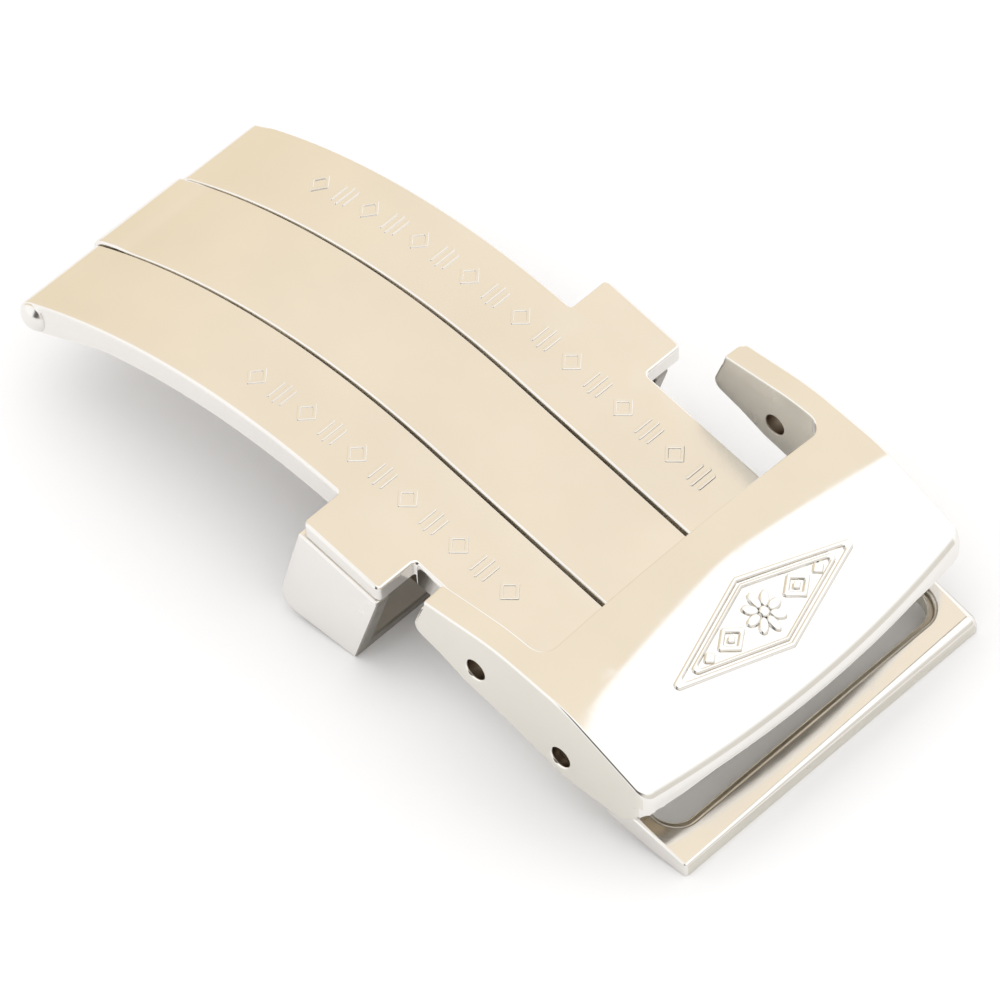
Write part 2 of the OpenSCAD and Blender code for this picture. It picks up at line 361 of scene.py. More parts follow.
def turned(profile, origin, axis, steps=40):
    """Round solid of (distance along the axis, radius) points."""
    axis = Vector(axis)
    side = Vector((1, 0, 0))
    other = axis.cross(side)
    points, normals, faces = [], [], []
    for i, (d, r) in enumerate(profile):
        before = Vector(profile[max(i - 1, 0)])
        after = Vector(profile[min(i + 1, len(profile) - 1)])
        run = (after - before).normalized()
        for k in range(steps):
            a = 2 * pi * k / steps
            out = cos(a) * side + sin(a) * other
            points.append(Vector(origin) + axis * d + out * r)
            normals.append((out * run.x - axis * run.y).normalized())
    for i in range(len(profile) - 1):
        for k in range(steps):
            j = (k + 1) % steps
            a, b = i * steps, (i + 1) * steps
            faces.append([a + k, a + j, b + j, b + k])
    faces.append([k for k in reversed(range(steps))])
    faces.append([(len(profile) - 1) * steps + k for k in range(steps)])
    return points, normals, faces


def piece(name, solids, body, materials, replaces=(), finish_and_shade=None):
    """One object of several solids, with the normals that they carry where a face agrees with them.
    The last argument gives the place of a face's material in the list from the face's centre and normal;
    it picks the finish and also the faces with painted shade."""
    points, normals, faces = [], [], []
    for p, n, f in solids:
        start = len(points)
        points += p
        normals += n
        faces += [[start + i for i in face] for face in f]
    mesh = bpy.data.meshes.new(name)
    mesh.from_pydata([p * MM for p in points], [], faces)
    mesh.update()
    shown = []
    for polygon in mesh.polygons:
        polygon.use_smooth = True
        for i in polygon.vertices:
            n = normals[i]
            agrees = n.dot(polygon.normal) > AGREES or polygon.area < SLIVER * MM ** 2
            shown.append(n if agrees else polygon.normal.copy())
    mesh.normals_split_custom_set(shown)
    for material in materials:
        mesh.materials.append(material)
    if finish_and_shade:
        for polygon in mesh.polygons:
            polygon.material_index = int(finish_and_shade(polygon.center / MM, polygon.normal))
    obj = bpy.data.objects.new(name, mesh)
    bpy.context.scene.collection.objects.link(obj)
    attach(obj, body)
    if replaces:
        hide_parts(*replaces)
    return obj


def steps_between(low, high, step):
    """Places of even cuts between two ends."""
    count = max(ceil((high - low) / step), 1)
    return [low + (high - low) * i / count for i in range(1, count)]


# Blades

def blade_low(x):
    """Height of the underside of a blade strip."""
    if x >= STRAIGHT_X:
        return blade_top(x) - BLADE_THICK / cos(SLOPE)
    return ARCH.y + sqrt((ARCH_R - BLADE_THICK) ** 2 - (x - ARCH.x) ** 2)


def barrel_low(x, radius):
    """Height of the underside near the hinge, where the barrel runs out into the blade."""
    foot = HINGE + radius * Vector((sin(UNDERSIDE), -cos(UNDERSIDE)))
    if x < foot.x:
        return HINGE.y - sqrt(max(radius ** 2 - (x - HINGE.x) ** 2, 0.0))
    return foot.y + (x - foot.x) * tan(UNDERSIDE)


def taper_low(x):
    """Height of the underside where the right end of the blade runs down to the table."""
    if x < TAPER_BEND.x:
        t = (x - TAPER_START.x) / (TAPER_BEND.x - TAPER_START.x)
        return TAPER_START.y + t * (TAPER_BEND.y - TAPER_START.y)
    t = min((x - TAPER_BEND.x) / (BLADE_END - TAPER_BEND.x), 1.0)
    return TAPER_BEND.y * (1 - t)


def outer_top(x, y):
    return blade_top(x)


def outer_low(x, y):
    if abs(y) > HALF_BLADE + 0.01 and x < WING_RIGHT + 1:
        return blade_top(x) - WING_THICK / cos(SLOPE)
    low = min(blade_low(x), barrel_low(x, BARREL_R)) if x < BARREL_REACH else blade_low(x)
    return max(low, taper_low(x)) if x > TAPER_START.x else low


def lift(x):
    """How far the centre blade stands above the arch near the hinge."""
    return (CENTRE_BARREL_R - HINGE_DEPTH) * (1 - smooth(LIFT_LEFT, LIFT_RIGHT, x))


def centre_top(x, y):
    return blade_top(x) + lift(x)


def centre_low(x, y):
    return min(blade_low(x), barrel_low(x, CENTRE_BARREL_R)) if x < BARREL_REACH else blade_low(x)


def barrel_cap(top, radius, y_near, y_far, near_edge, far_edge):
    """Left half of a hinge barrel, from the top face of the blade round to its underside."""
    start = pi / 2 - HINGE_TURN
    corners = []
    for share in (0, 1 / 3, 2 / 3):
        x = HINGE.x + radius * sin(HINGE_TURN) * share
        gradient = slope_of(top, x, 0)[0]
        corners.append((x, top(x, 0), 0, Vector((-gradient, 1)).normalized()))
    turns = 24
    for k in range(turns + 1):
        a = start + (3 * pi / 2 - start) * k / turns
        n = Vector((cos(a), sin(a)))
        p = HINGE + radius * n
        corners.append((p.x, p.y, 0, n))
    bm = slab([(round_outline(corners), near_edge, far_edge)])
    return solid(bm, upright(y_near, y_far))


def facing_edge(n):
    """Rounding of an edge beside the centre blade: wider where its wall faces the near side."""
    if n.y < -0.5:
        return TOWARDS_EDGE
    return AWAY_EDGE if n.y > 0.5 else FINE_EDGE


def outer_plan(left, half_gap):
    """Outline of the outer blade in plan, with the long opening for the centre blade."""
    near, far_side = Vector((0, -1)), Vector((0, 1))
    return round_outline([
        (left, -HALF_BLADE, 0, near),
        (WING_LEFT, -HALF_BLADE, INNER_CORNER),
        (WING_LEFT, -HALF_WING, WING_CORNER),
        (WING_RIGHT, -HALF_WING, WING_CORNER),
        (WING_RIGHT, -HALF_BLADE, INNER_CORNER),
        (FRAME_LEFT, -HALF_BLADE, FRAME_INNER_CORNER),
        (FRAME_LEFT, -HALF_FRAME, FRAME_CORNER),
        (BLADE_END, -HALF_FRAME, END_CORNER_NEAR),
        (BLADE_END, HALF_FRAME, END_CORNER_FAR),
        (FRAME_LEFT, HALF_FRAME, FRAME_CORNER),
        (FRAME_LEFT, HALF_BLADE, FRAME_INNER_CORNER),
        (WING_RIGHT, HALF_BLADE, INNER_CORNER),
        (WING_RIGHT, HALF_WING, WING_CORNER),
        (WING_LEFT, HALF_WING, WING_CORNER),
        (WING_LEFT, HALF_BLADE, INNER_CORNER),
        (left + END_EDGE_LONG, HALF_BLADE, 0),
        (left, HALF_BLADE, 0, far_side),
        (left, half_gap, 0, near),
        (BAR_LEFT, half_gap + OPENING_FLARE, BAR_CORNER),
        (BAR_LEFT, -half_gap - OPENING_FLARE, BAR_CORNER),
        (left, -half_gap, 0, far_side),
    ])


def slot_outline(left, right, half, hole=True):
    """Outline in plan of the strap slot, of the step round it or of its rim."""
    start, *others = [(left, -half), (left, half), (right, half), (right, -half)]
    corners = [start, *(others if hole else others[::-1])]
    return round_outline([(x, y, SLOT_CORNER) for x, y in corners], 10)


def slot_rim(step_half):
    """Floor of the step round the strap slot, tucked a little into the frame about it."""
    tucked, tucked_left = 0.03, 0.3
    around = slot_outline(SLOT_LEFT - tucked_left, STEP_RIGHT + tucked, step_half + tucked, hole=False)
    slot = slot_outline(SLOT_LEFT + 0.01, SLOT_RIGHT, HALF_SLOT)
    rim = slab([(around, NO_EDGE, NO_EDGE), (slot, 0.12, 0.05)], steps_between(SLOT_LEFT, STEP_RIGHT, 0.5))
    return solid(rim, over(lambda x, y: blade_top(x) - SLOT_STEP, lambda x, y: outer_low(x, 0) + PARTED))


def outer_blade():
    left = HINGE.x
    half_gap = HALF_CENTRE + SLOT_GAP
    step_half = HALF_SLOT + STEP_BEYOND
    cut, beside = 0.8, 0.02

    def top_edge(p, n):
        if p.x > FRAME_LEFT + 0.6:
            across = (p.y + HALF_FRAME) / (2 * HALF_FRAME)
            return EDGE + FRAME_EDGE_GROWS * across
        if abs(p.y) < half_gap + 0.5 and p.x < BAR_LEFT + 1:
            return facing_edge(n)
        if p.x < left + 0.1 and p.y > 0:
            return END_EDGE
        return EDGE + (NEAR_EDGE - EDGE) * smooth(0.1, 0.9, -n.y)

    main = slab(
        [
            (outer_plan(left, half_gap), top_edge, LOW_EDGE),
            (slot_outline(SLOT_LEFT, STEP_RIGHT, step_half), STEP_EDGE, 0.02),
        ],
        steps_between(left, WING_LEFT, cut) + steps_between(WING_LEFT, BLADE_END, cut),
        (-HALF_BLADE - beside, -HALF_BLADE, HALF_BLADE, HALF_BLADE + beside),
    )
    solids = [
        solid(main, over(outer_top, outer_low)),
        slot_rim(step_half),
        barrel_cap(outer_top, BARREL_R, -HALF_BLADE, -half_gap, NEAR_EDGE, AWAY_EDGE),
        barrel_cap(outer_top, BARREL_R, half_gap, HALF_BLADE, TOWARDS_EDGE, END_EDGE),
    ]
    straight_up = Vector((sin(SLOPE), 0, cos(SLOPE)))

    def finish_and_shade(c, n):
        upright_face = abs(n.z) < 0.5
        in_gap = abs(c.y) < half_gap + 0.4 and c.x < BAR_LEFT + 0.1
        in_step = SLOT_LEFT - 0.1 < c.x < STEP_RIGHT + 0.05 and abs(c.y) < step_half + 0.05
        # The frame's end face takes the darker machined steel as painted shade
        end_face = n.x > 0.9 and c.x > BLADE_END - 0.1
        # The floor of the step round the slot gets painted shade
        if in_step and n.dot(straight_up) > 0.99 and c.z < blade_top(c.x) - 0.2:
            return 3
        # Walls of the gaps beside the centre blade get the duller steel with painted shade
        if in_gap and upright_face:
            return 2
        return in_step and upright_face or end_face

    steels = [blade_steel, shaded_machined, slot_walls_shaded, step_painted_shade]
    return piece("blade_outer", solids, "outer_blade", steels, ["outer_blade"], finish_and_shade)


def centre_blade():
    left = HINGE.x
    taper_from = left + 1.8
    end_half = HALF_CENTRE - CENTRE_TAPER
    plan = round_outline([
        (left, -HALF_CENTRE, 0, (0, -1)),
        (taper_from, -HALF_CENTRE + 0.01, 0),
        (CENTRE_END, -end_half, CENTRE_CORNER),
        (CENTRE_END, end_half, CENTRE_CORNER),
        (taper_from, HALF_CENTRE - 0.01, 0),
        (left, HALF_CENTRE, 0, (0, 1)),
    ])

    def top_edge(p, n):
        return BARREL_EDGE if p.x < left + 0.1 else facing_edge(n)

    main = slab([(plan, top_edge, FINE_EDGE)], steps_between(left, CENTRE_END, 0.6))
    lug_corners = list(LUG_FOOT)
    for k in range(17):
        a = radians(LUG_ROUND_FROM + LUG_ROUND_TURN * k / 16)
        p = LUG + LUG_R * Vector((cos(a), sin(a)))
        lug_corners.append((p.x, p.y, 0))
    lug = slab([
        (round_outline(lug_corners), 0.1, 0.1),
        (ring_outline(LUG, PIVOT_BORE_R), 0.05, 0.05),
    ])
    solids = [
        solid(main, over(centre_top, centre_low)),
        solid(lug, upright(-end_half + PARTED, end_half - PARTED)),
        barrel_cap(centre_top, CENTRE_BARREL_R, -HALF_CENTRE, HALF_CENTRE, BARREL_EDGE, BARREL_EDGE),
    ]

    def finish_and_shade(c, n):
        # Its side faces in the gaps and its bore get the duller steel with painted shade
        side_face = abs(n.y) > 0.8 and c.x > left + 1
        in_bore = (c.xz - LUG).length < PIVOT_BORE_R + 0.01
        return side_face or in_bore

    steels = [centre_steel, slot_walls_shaded]
    return piece("blade_centre", solids, "centre_blade", steels, ["centre_blade"], finish_and_shade)


def hinge_pin():
    ball = (HEAD_R ** 2 + HEAD_RISE ** 2) / (2 * HEAD_RISE)
    dome = asin(HEAD_R / ball)
    profile = []
    for k in range(9):
        a = dome * k / 8
        profile.append((-HEAD_RISE - PARTED + ball * (1 - cos(a)), max(ball * sin(a), POINT_R)))
    end = 2 * HALF_BLADE + PIN_PROUD
    profile += [
        (HEAD_RIM, HEAD_R - HEAD_RIM),
        (HEAD_RIM + 0.01, PIN_R),
        (end - PIN_CHAMFER, PIN_R),
        (end, PIN_R - PIN_CHAMFER),
        (end, POINT_R),
    ]
    made = turned(profile, (HINGE.x, -HALF_BLADE, HINGE.y), (0, 1, 0))
    return piece("pin_hinge", [made], "outer_blade", [pin_steel], ["hinge_pin"])


# Keeper

def wing_under(x):
    """Height just below the underside of the wings, where the keeper's walls end."""
    return blade_top(x) - WING_THICK / cos(SLOPE) - 0.02


def keeper_bend(radius, first, last=268):
    """Corners of the bend at the lower left of the keeper, between two angles in degrees."""
    corners = []
    for k in range(11):
        a = radians(first + (last - first) * k / 10)
        p = KEEPER_BEND_CENTRE + radius * Vector((cos(a), sin(a)))
        corners.append((p.x, p.y, 0))
    return corners


def keeper_profile():
    return [
        (KEEPER_TOP_RIGHT, wing_under(KEEPER_TOP_RIGHT), KEEPER_CORNER),
        (KEEPER_TOP_LEFT, wing_under(KEEPER_TOP_LEFT), KEEPER_CORNER),
        *keeper_bend(KEEPER_BEND, 166),
        (KEEPER_LOW_RIGHT.x, KEEPER_LOW_RIGHT.y, KEEPER_CORNER),
    ]


def strap_keeper():
    near = KEEPER_SHIFT - KEEPER_HALF
    far_y = KEEPER_SHIFT + KEEPER_HALF
    inner_edge, cut = 0.08, 1.2
    solids = []
    for y_near, y_far, near_edge, far_edge in (
        (near, near + KEEPER_WALL, EDGE, inner_edge),
        (far_y - KEEPER_WALL, far_y, inner_edge, EDGE),
    ):
        wall = slab([(round_outline(keeper_profile()), near_edge, far_edge)], steps_between(-3, 3.6, cut))
        solids.append(solid(wall, upright(y_near, y_far)))
    run = (KEEPER_TOP_RIGHT - KEEPER_LOW_RIGHT.x) / wing_under(KEEPER_TOP_RIGHT)
    floor_corner = 0.1
    corners = [
        (KEEPER_LOW_RIGHT.x + KEEPER_FLOOR * run - PARTED, KEEPER_FLOOR, floor_corner),
        (KEEPER_BEND_CENTRE.x - KEEPER_BEND * 0.99 + PARTED, KEEPER_FLOOR, floor_corner),
        *keeper_bend(KEEPER_BEND - PARTED, 190),
        (KEEPER_LOW_RIGHT.x - PARTED, PARTED, EDGE),
    ]
    floor = slab([(round_outline(corners), NO_EDGE, NO_EDGE)], steps_between(-3, 3, cut))
    solids.append(solid(floor, upright(near + KEEPER_WALL / 2, far_y - KEEPER_WALL / 2)))

    def finish_and_shade(c, n):
        # The inside of the keeper and the right ends of its walls get painted shade
        inside = near + KEEPER_WALL - 0.05 < c.y < far_y - KEEPER_WALL + 0.05
        return n.x > 0.5 or inside and (abs(n.y) > 0.7 or n.z > 0.7)

    steels = [keeper_steel, keeper_painted_shade]
    return piece("keeper_loop", solids, "outer_blade", steels, ["strap_keeper"], finish_and_shade)


def strap_peg():
    profile = [(0.0, PEG_R), (KEEPER_FLOOR - PEG_FOOT, PEG_R)]
    for k in range(9):
        a = pi / 2 * k / 8
        profile.append((PEG_TOP - PEG_FOOT + PEG_R * sin(a), max(PEG_R * cos(a), POINT_R)))
    made = turned(profile, (PEG.x, PEG.y, PEG_FOOT), (0, 0, 1))
    return piece("peg_strap", [made], "outer_blade", [pin_steel], ["strap_peg"])


# Cover

def cover_edge(x):
    """Height of the long edges of the cover: level, a bend, a slope and a second bend."""
    z, fall, last = COVER_LEVEL, 0.0, COVER_STATIONS[0][0]
    if x <= last:
        return z
    for station, angle in COVER_STATIONS[1:]:
        to = tan(radians(angle))
        reach = min(x, station)
        share = (reach - last) / (station - last)
        z -= (reach - last) * (fall + (fall + (to - fall) * share)) / 2
        if x <= station:
            return z
        fall, last = to, station
    return z - (x - last) * fall


def cover_top(x, y):
    """Height of the cover's crowned top face."""
    return cover_edge(x) + CROWN * (1 - (y / HALF_COVER) ** 2)


def cover_low(x, y):
    return max(cover_top(x, y) - PLATE, PLATE_FLOOR)


def bow_x(y):
    """Right end of the cover, bowed in plan."""
    return BOW_END - BOW_R + sqrt(BOW_R ** 2 - y ** 2)


def cover_plan():
    corners = [
        (COVER_LEFT, -HALF_COVER, SMALL_TIP_CORNER),
        (bow_x(HALF_COVER), -HALF_COVER, COVER_CORNER),
    ]
    reach = asin((HALF_COVER - 1.5 * COVER_CORNER) / BOW_R)
    for k in range(21):
        a = reach * (k / 10 - 1)
        corners.append((BOW_END - BOW_R + BOW_R * cos(a), BOW_R * sin(a), 0))
    corners += [
        (bow_x(HALF_COVER), HALF_COVER, COVER_CORNER),
        (COVER_LEFT, HALF_COVER, TIP_CORNER),
        (COVER_LEFT, HALF_GAP, SMALL_TIP_CORNER),
        (PLATE_LEFT, HALF_GAP, GAP_CORNER),
        (PLATE_LEFT, -HALF_GAP, GAP_CORNER),
        (COVER_LEFT, -HALF_GAP, SMALL_TIP_CORNER),
    ]
    return round_outline(corners, 8)


def cover_reach(y):
    """Right end of the cover and of its arms with its normal: the bow, then the rounded corner."""
    turn_y = HALF_COVER - COVER_CORNER
    if abs(y) <= turn_y:
        return bow_x(y), Vector((1, 0, 0))
    beyond = min(abs(y) - turn_y, COVER_CORNER)
    out = Vector((sqrt(COVER_CORNER ** 2 - beyond ** 2), beyond if y > 0 else -beyond, 0))
    return bow_x(HALF_COVER) - COVER_CORNER + out.x, out


def beyond_tip(y):
    """How far a point lies past the start of the far tip's rounded plan corner."""
    return min(max(y - HALF_COVER + TIP_CORNER, 0), TIP_CORNER)


def tip_back(beyond):
    """How far that corner lies in from the left end of the cover."""
    return TIP_CORNER - sqrt(TIP_CORNER ** 2 - beyond ** 2)


def round_tip(p, n):
    """Carries the rounded plan corner of the cover's left end down the tip of the far arm."""
    beyond = beyond_tip(p.y)
    share = smooth(COVER_LEFT + TIP_CORNER, COVER_LEFT, p.x)
    moved = p + Vector((share * tip_back(beyond), 0, 0))
    turn = share * beyond / TIP_CORNER
    if turn <= abs(n.y):
        return moved, n
    flat = sqrt((1 - turn ** 2) / (n.x ** 2 + n.z ** 2))
    return moved, Vector((n.x * flat, turn, n.z * flat))


def arm_profile():
    """Side view of an arm: its underside, its top inside the plate and the rounded tip."""
    middle = COVER_LEVEL - PLATE / 2
    corners = []
    for x, z in ARM_UNDER:
        corners.append((x, z, 0.6 if z > 2.4 else 0.3))
    corners += [(*ARM_RIGHT, 0.1)]
    corners += [(x, cover_edge(x) - PLATE / 2, 0) for x in (21.2, 19, 17, 15, 13, 11)]
    corners += [(COVER_LEFT + 0.5, middle, 0.1)]
    corners += [(COVER_LEFT + (middle - TIP_BEND) * TIP_SLANT + ARM_INSET, middle, 0.05)]
    for k in range(8):
        a = radians(161 + 89 * k / 7)
        corners.append((ARM_TIP.x + ARM_TIP_R * cos(a), ARM_TIP.y + ARM_TIP_R * sin(a), 0))
    return corners


def cover_sheet():
    """Crowned plate of the cover with the tops of its arms."""
    def top_edge(p, n):
        if p.x < COVER_LEFT + TIP_CORNER + 0.1:
            return COVER_EDGE + 0.15 * smooth(0.1, 0.9, -n.x)
        return COVER_EDGE + 0.4 * smooth(0.1, 0.9, n.x) if p.x > PLATE_LEFT + 3 else COVER_EDGE

    def low_edge(p, n):
        if abs(p.y) > HALF_GAP + 0.01:
            return NO_EDGE
        grows = 0.3 * smooth(HALF_GAP - 0.5, HALF_GAP - 3, abs(p.y)) if p.x > 21.5 else 0
        return HOLE_EDGE + grows

    # Cuts along the cover are close together where its long edges bend
    along = [
        *steps_between(COVER_LEFT, LEVEL_END, 1.1),
        LEVEL_END,
        *steps_between(LEVEL_END, BENDS_END, 0.3),
        *steps_between(BENDS_END, BOW_END, 0.9),
    ]
    across = steps_between(-HALF_COVER, HALF_COVER, 1.0)
    sheet = slab([(cover_plan(), top_edge, low_edge)], along, across, steps=5)
    settle = over(cover_top, cover_low)

    def place(x, y, rise, low, n):
        p, out = settle(x, y, rise, low, n)
        share = smooth(COVER_LEFT + 1.2, COVER_LEFT, x - tip_back(beyond_tip(y)))
        lean = share * TIP_LEAN * max(COVER_LEVEL - 0.3 - p.z, 0)
        return Vector((p.x - lean, p.y, p.z)), out

    return solid(sheet, place)


def cover_arm(side):
    """Arm of the cover on the near side (-1) or the far side (1), with its two holes."""
    loops = []
    for outline, outer_edge, inner_edge in (
        (round_outline(arm_profile()), 0.12, 0.1),
        (ring_outline(BAR_HOLE, HOLE_R), COVER_EDGE, HOLE_EDGE),
        (ring_outline(LUG, HOLE_R), COVER_EDGE, HOLE_EDGE),
    ):
        edges = (outer_edge, inner_edge) if side < 0 else (inner_edge, outer_edge)
        loops.append((outline, *edges))
    stand = upright(*sorted((side * (HALF_COVER - ARM_INSET), side * (HALF_GAP + ARM_INSET))))

    def place(x, z, rise, low, n):
        p, out = round_tip(*stand(x, z, rise, low, n))
        end, end_normal = cover_reach(p.y)
        if p.x > end - ARM_INSET:
            p.x, out = end - ARM_INSET, end_normal
        return p, out

    along = steps_between(7, 20.8, 1.5) + [20.89, 21.2, 21.5, 21.7]
    through = (-0.3, -0.42, -0.55, -0.7)
    return solid(slab(loops, along, (), through), place)


def cover():
    def finish_and_shade(c, n):
        from_hole = min((c.xz - BAR_HOLE).length, (c.xz - LUG).length)
        # Walls of the holes get painted shade
        if from_hole < HOLE_R + 0.03 and abs(n.y) < 0.8:
            return 2
        # The outer sides of the arms get painted shade
        if abs(n.y) > 0.9 and abs(c.y) > HALF_COVER - 0.1:
            return 3
        # Inner faces of the arms and the underside take the darker machined steel: a duller finish with
        # painted shade
        inner_side = HALF_GAP - 0.05 < abs(c.y) < HALF_GAP + 0.2 and n.y * c.y < -0.7 * abs(c.y)
        return inner_side or (n.z < -0.7 and abs(c.y) < HALF_GAP and c.x < 20.5)

    solids = [cover_sheet(), cover_arm(-1), cover_arm(1)]
    steels = [cover_steel, shaded_machined, painted_hole_shade, shaded_arm_sides]
    return piece("cover_shell", solids, "cover", steels, ["cover"], finish_and_shade)


def cover_pin():
    end = HALF_COVER - COVER_PIN_INSET
    half = [(0, POINT_R), (0, HOLE_R - COVER_PIN_CHAMFER), (COVER_PIN_CHAMFER, HOLE_R - POINT_R)]
    profile = half + [(2 * end - d, r) for d, r in reversed(half)]
    made = turned(profile, (LUG.x, -end, LUG.y), (0, 1, 0))

    def finish_and_shade(c, n):
        # The pin's ends, down in the holes of the arms, get painted shade
        return abs(c.y) > HALF_GAP

    steels = [pin_steel, painted_hole_shade]
    return piece("pin_cover", [made], "cover", steels, ["cover_pin"], finish_and_shade)


# Ornament

def ellipse_outline(centre, along, half_long, half_wide, steps=20):
    """Leaf-shaped round outline, its long axis along a plan direction."""
    along = Vector(along).normalized()
    across = Vector((-along.y, along.x))
    made = []
    for k in range(steps):
        a = 2 * pi * k / steps
        p = Vector(centre) + along * half_long * cos(a) + across * half_wide * sin(a)
        n = along * half_wide * cos(a) + across * half_long * sin(a)
        made.append((p, n.normalized()))
    return made


def lozenge_outline(centre, half_x, half_y, fillet, hole=False):
    """Lozenge with its corners on the two axes of the plan."""
    x, y = centre
    corners = [
        (x, y - half_y, fillet),
        (x + half_x, y, fillet),
        (x, y + half_y, fillet),
        (x - half_x, y, fillet),
    ]
    return round_outline(corners[::-1] if hole else corners)


def raised(surface, loops, height, edge):
    """Low relief standing on a curved top face, its foot sunk into it."""
    foot = 0.06
    made = slab([(outline, edge, NO_EDGE) for outline in loops])
    return solid(made, over(lambda x, y: surface(x, y) + height, lambda x, y: surface(x, y) - foot))


def cover_relief(loops, height=RELIEF, edge=RELIEF_EDGE):
    return raised(cover_top, loops, height, edge)


def lozenge_ring(inset, width):
    """Lozenge ring whose outer side lies an inset in from the outline of the whole relief."""
    half_x, half_y = ORNAMENT_HALF_X, ORNAMENT_HALF_Y
    diagonal = sqrt(half_x ** 2 + half_y ** 2)

    def halves(depth):
        return half_x - depth * diagonal / half_y, half_y - depth * diagonal / half_x

    middle = (ORNAMENT_X, 0)
    return cover_relief([
        lozenge_outline(middle, *halves(inset), 0.22),
        lozenge_outline(middle, *halves(inset + width), 0.12, hole=True),
    ])


def cover_ornament():
    """Generic lozenge frame around an eight-petalled rosette, with nested lozenges on each side."""
    x = ORNAMENT_X
    solids = [lozenge_ring(*OUTER_RING), lozenge_ring(*INNER_RING)]
    for k in range(PETALS):
        a = 2 * pi * k / PETALS
        out = Vector((cos(a) * cos(radians(COVER_SLOPE)), sin(a)))
        place = (x + PETAL_REACH_X * out.x, PETAL_REACH_Y * out.y)
        solids.append(cover_relief([ellipse_outline(place, out, PETAL_LONG, PETAL_WIDE)]))
    solids.append(cover_relief([ring_outline((x, 0), BUTTON_R, 20, hole=False)], BUTTON_RELIEF))
    for side in (-1, 1):
        nested = (x, side * NESTED_Y)
        solids.append(cover_relief([
            lozenge_outline(nested, *NESTED_OUTER),
            lozenge_outline(nested, *NESTED_INNER, hole=True),
        ]))
        solids.append(cover_relief([lozenge_outline(nested, *NESTED_CORE)], edge=0.05))
        solids.append(cover_relief([lozenge_outline((x, side * END_Y), *END_LOZENGE)]))
    return piece("ornament_cover", solids, "cover", [cover_steel])


def mark_bar(x, y, half_long):
    left, right = x - BAR_HALF_WIDE, x + BAR_HALF_WIDE
    near, far_y = y - half_long, y + half_long
    corners = [(left, near), (right, near), (right, far_y), (left, far_y)]
    return [round_outline([(*corner, BAR_FILLET) for corner in corners], 3)]


def mark_lozenge(x, y):
    return [
        lozenge_outline((x, y), *MARK_OUTER),
        lozenge_outline((x, y), *MARK_INNER, hole=True),
    ]


def strip_marks():
    """Rows of small marks along the two side strips: an open lozenge, then three short bars."""
    marks = []
    for y, first, last in MARK_ROWS:
        count = round((last - first) / MARK_STEP)
        for k in range(count + 1):
            x = first + (last - first) * k / count
            if k % 2:
                for shift in (-BAR_GAP, 0, BAR_GAP):
                    marks.append(mark_bar(x + shift, y, SIDE_BAR if shift else MIDDLE_BAR))
            else:
                marks.append(mark_lozenge(x, y))
    solids = [raised(outer_top, mark, MARK_HEIGHT, MARK_EDGE) for mark in marks]
    return piece("marks_strips", solids, "outer_blade", [blade_steel])


# Materials: how fine the clouds, smears and hairlines are, which span of each pattern counts, and
# how much it changes the steel
CLOUD_SCALE = 160
CLOUD_SPAN = (0.35, 0.65)
CLOUD_TONE = 0.965
SMEAR_SCALE = 420
SMEAR_SPAN = (0.3, 0.7)
SMEAR_LEAST, SMEAR_MOST = 0.85, 1.25
HAIR_SCALE = 900
HAIR_STRETCH = (0.12, 1.0, 1.0)
HAIR_SPAN = (0.55, 0.8)
HAIR_ROUGH = 0.05
HAIR_BUMP = 0.05
HAIR_DEPTH = 0.00002
WORN_SPAN = (0.52, 0.6)
WORN_ROUGH = 0.07


def shader(name):
    material = bpy.data.materials.new(name)
    material.use_nodes = True
    tree = material.node_tree
    return material, tree, tree.nodes["Principled BSDF"]


def link(tree, a, b):
    tree.links.new(a, b)


def noise(tree, coords, scale, detail=3.0, stretch=None):
    node = tree.nodes.new("ShaderNodeTexNoise")
    node.inputs["Scale"].default_value = scale
    node.inputs["Detail"].default_value = detail
    if stretch:
        mapping = tree.nodes.new("ShaderNodeMapping")
        mapping.inputs["Scale"].default_value = stretch
        link(tree, coords, mapping.inputs["Vector"])
        coords = mapping.outputs["Vector"]
    link(tree, coords, node.inputs["Vector"])
    return node.outputs["Fac"]


def span(tree, value, low, high, to_low, to_high):
    node = tree.nodes.new("ShaderNodeMapRange")
    for key, number in (("From Min", low), ("From Max", high), ("To Min", to_low), ("To Max", to_high)):
        node.inputs[key].default_value = number
    link(tree, value, node.inputs["Value"])
    return node.outputs["Result"]


def math_node(tree, kind, a, b):
    node = tree.nodes.new("ShaderNodeMath")
    node.operation = kind
    for socket, value in zip(node.inputs, (a, b)):
        if isinstance(value, (int, float)):
            socket.default_value = value
        else:
            link(tree, value, socket)
    return node.outputs[0]


def mix_colour(tree, factor, a, b):
    node = tree.nodes.new("ShaderNodeMix")
    node.data_type = "RGBA"
    link(tree, factor, node.inputs["Factor"])
    for key, value in (("A", a), ("B", b)):
        if isinstance(value, tuple):
            node.inputs[key].default_value = (*value, 1)
        else:
            link(tree, value, node.inputs[key])
    return node.outputs["Result"]


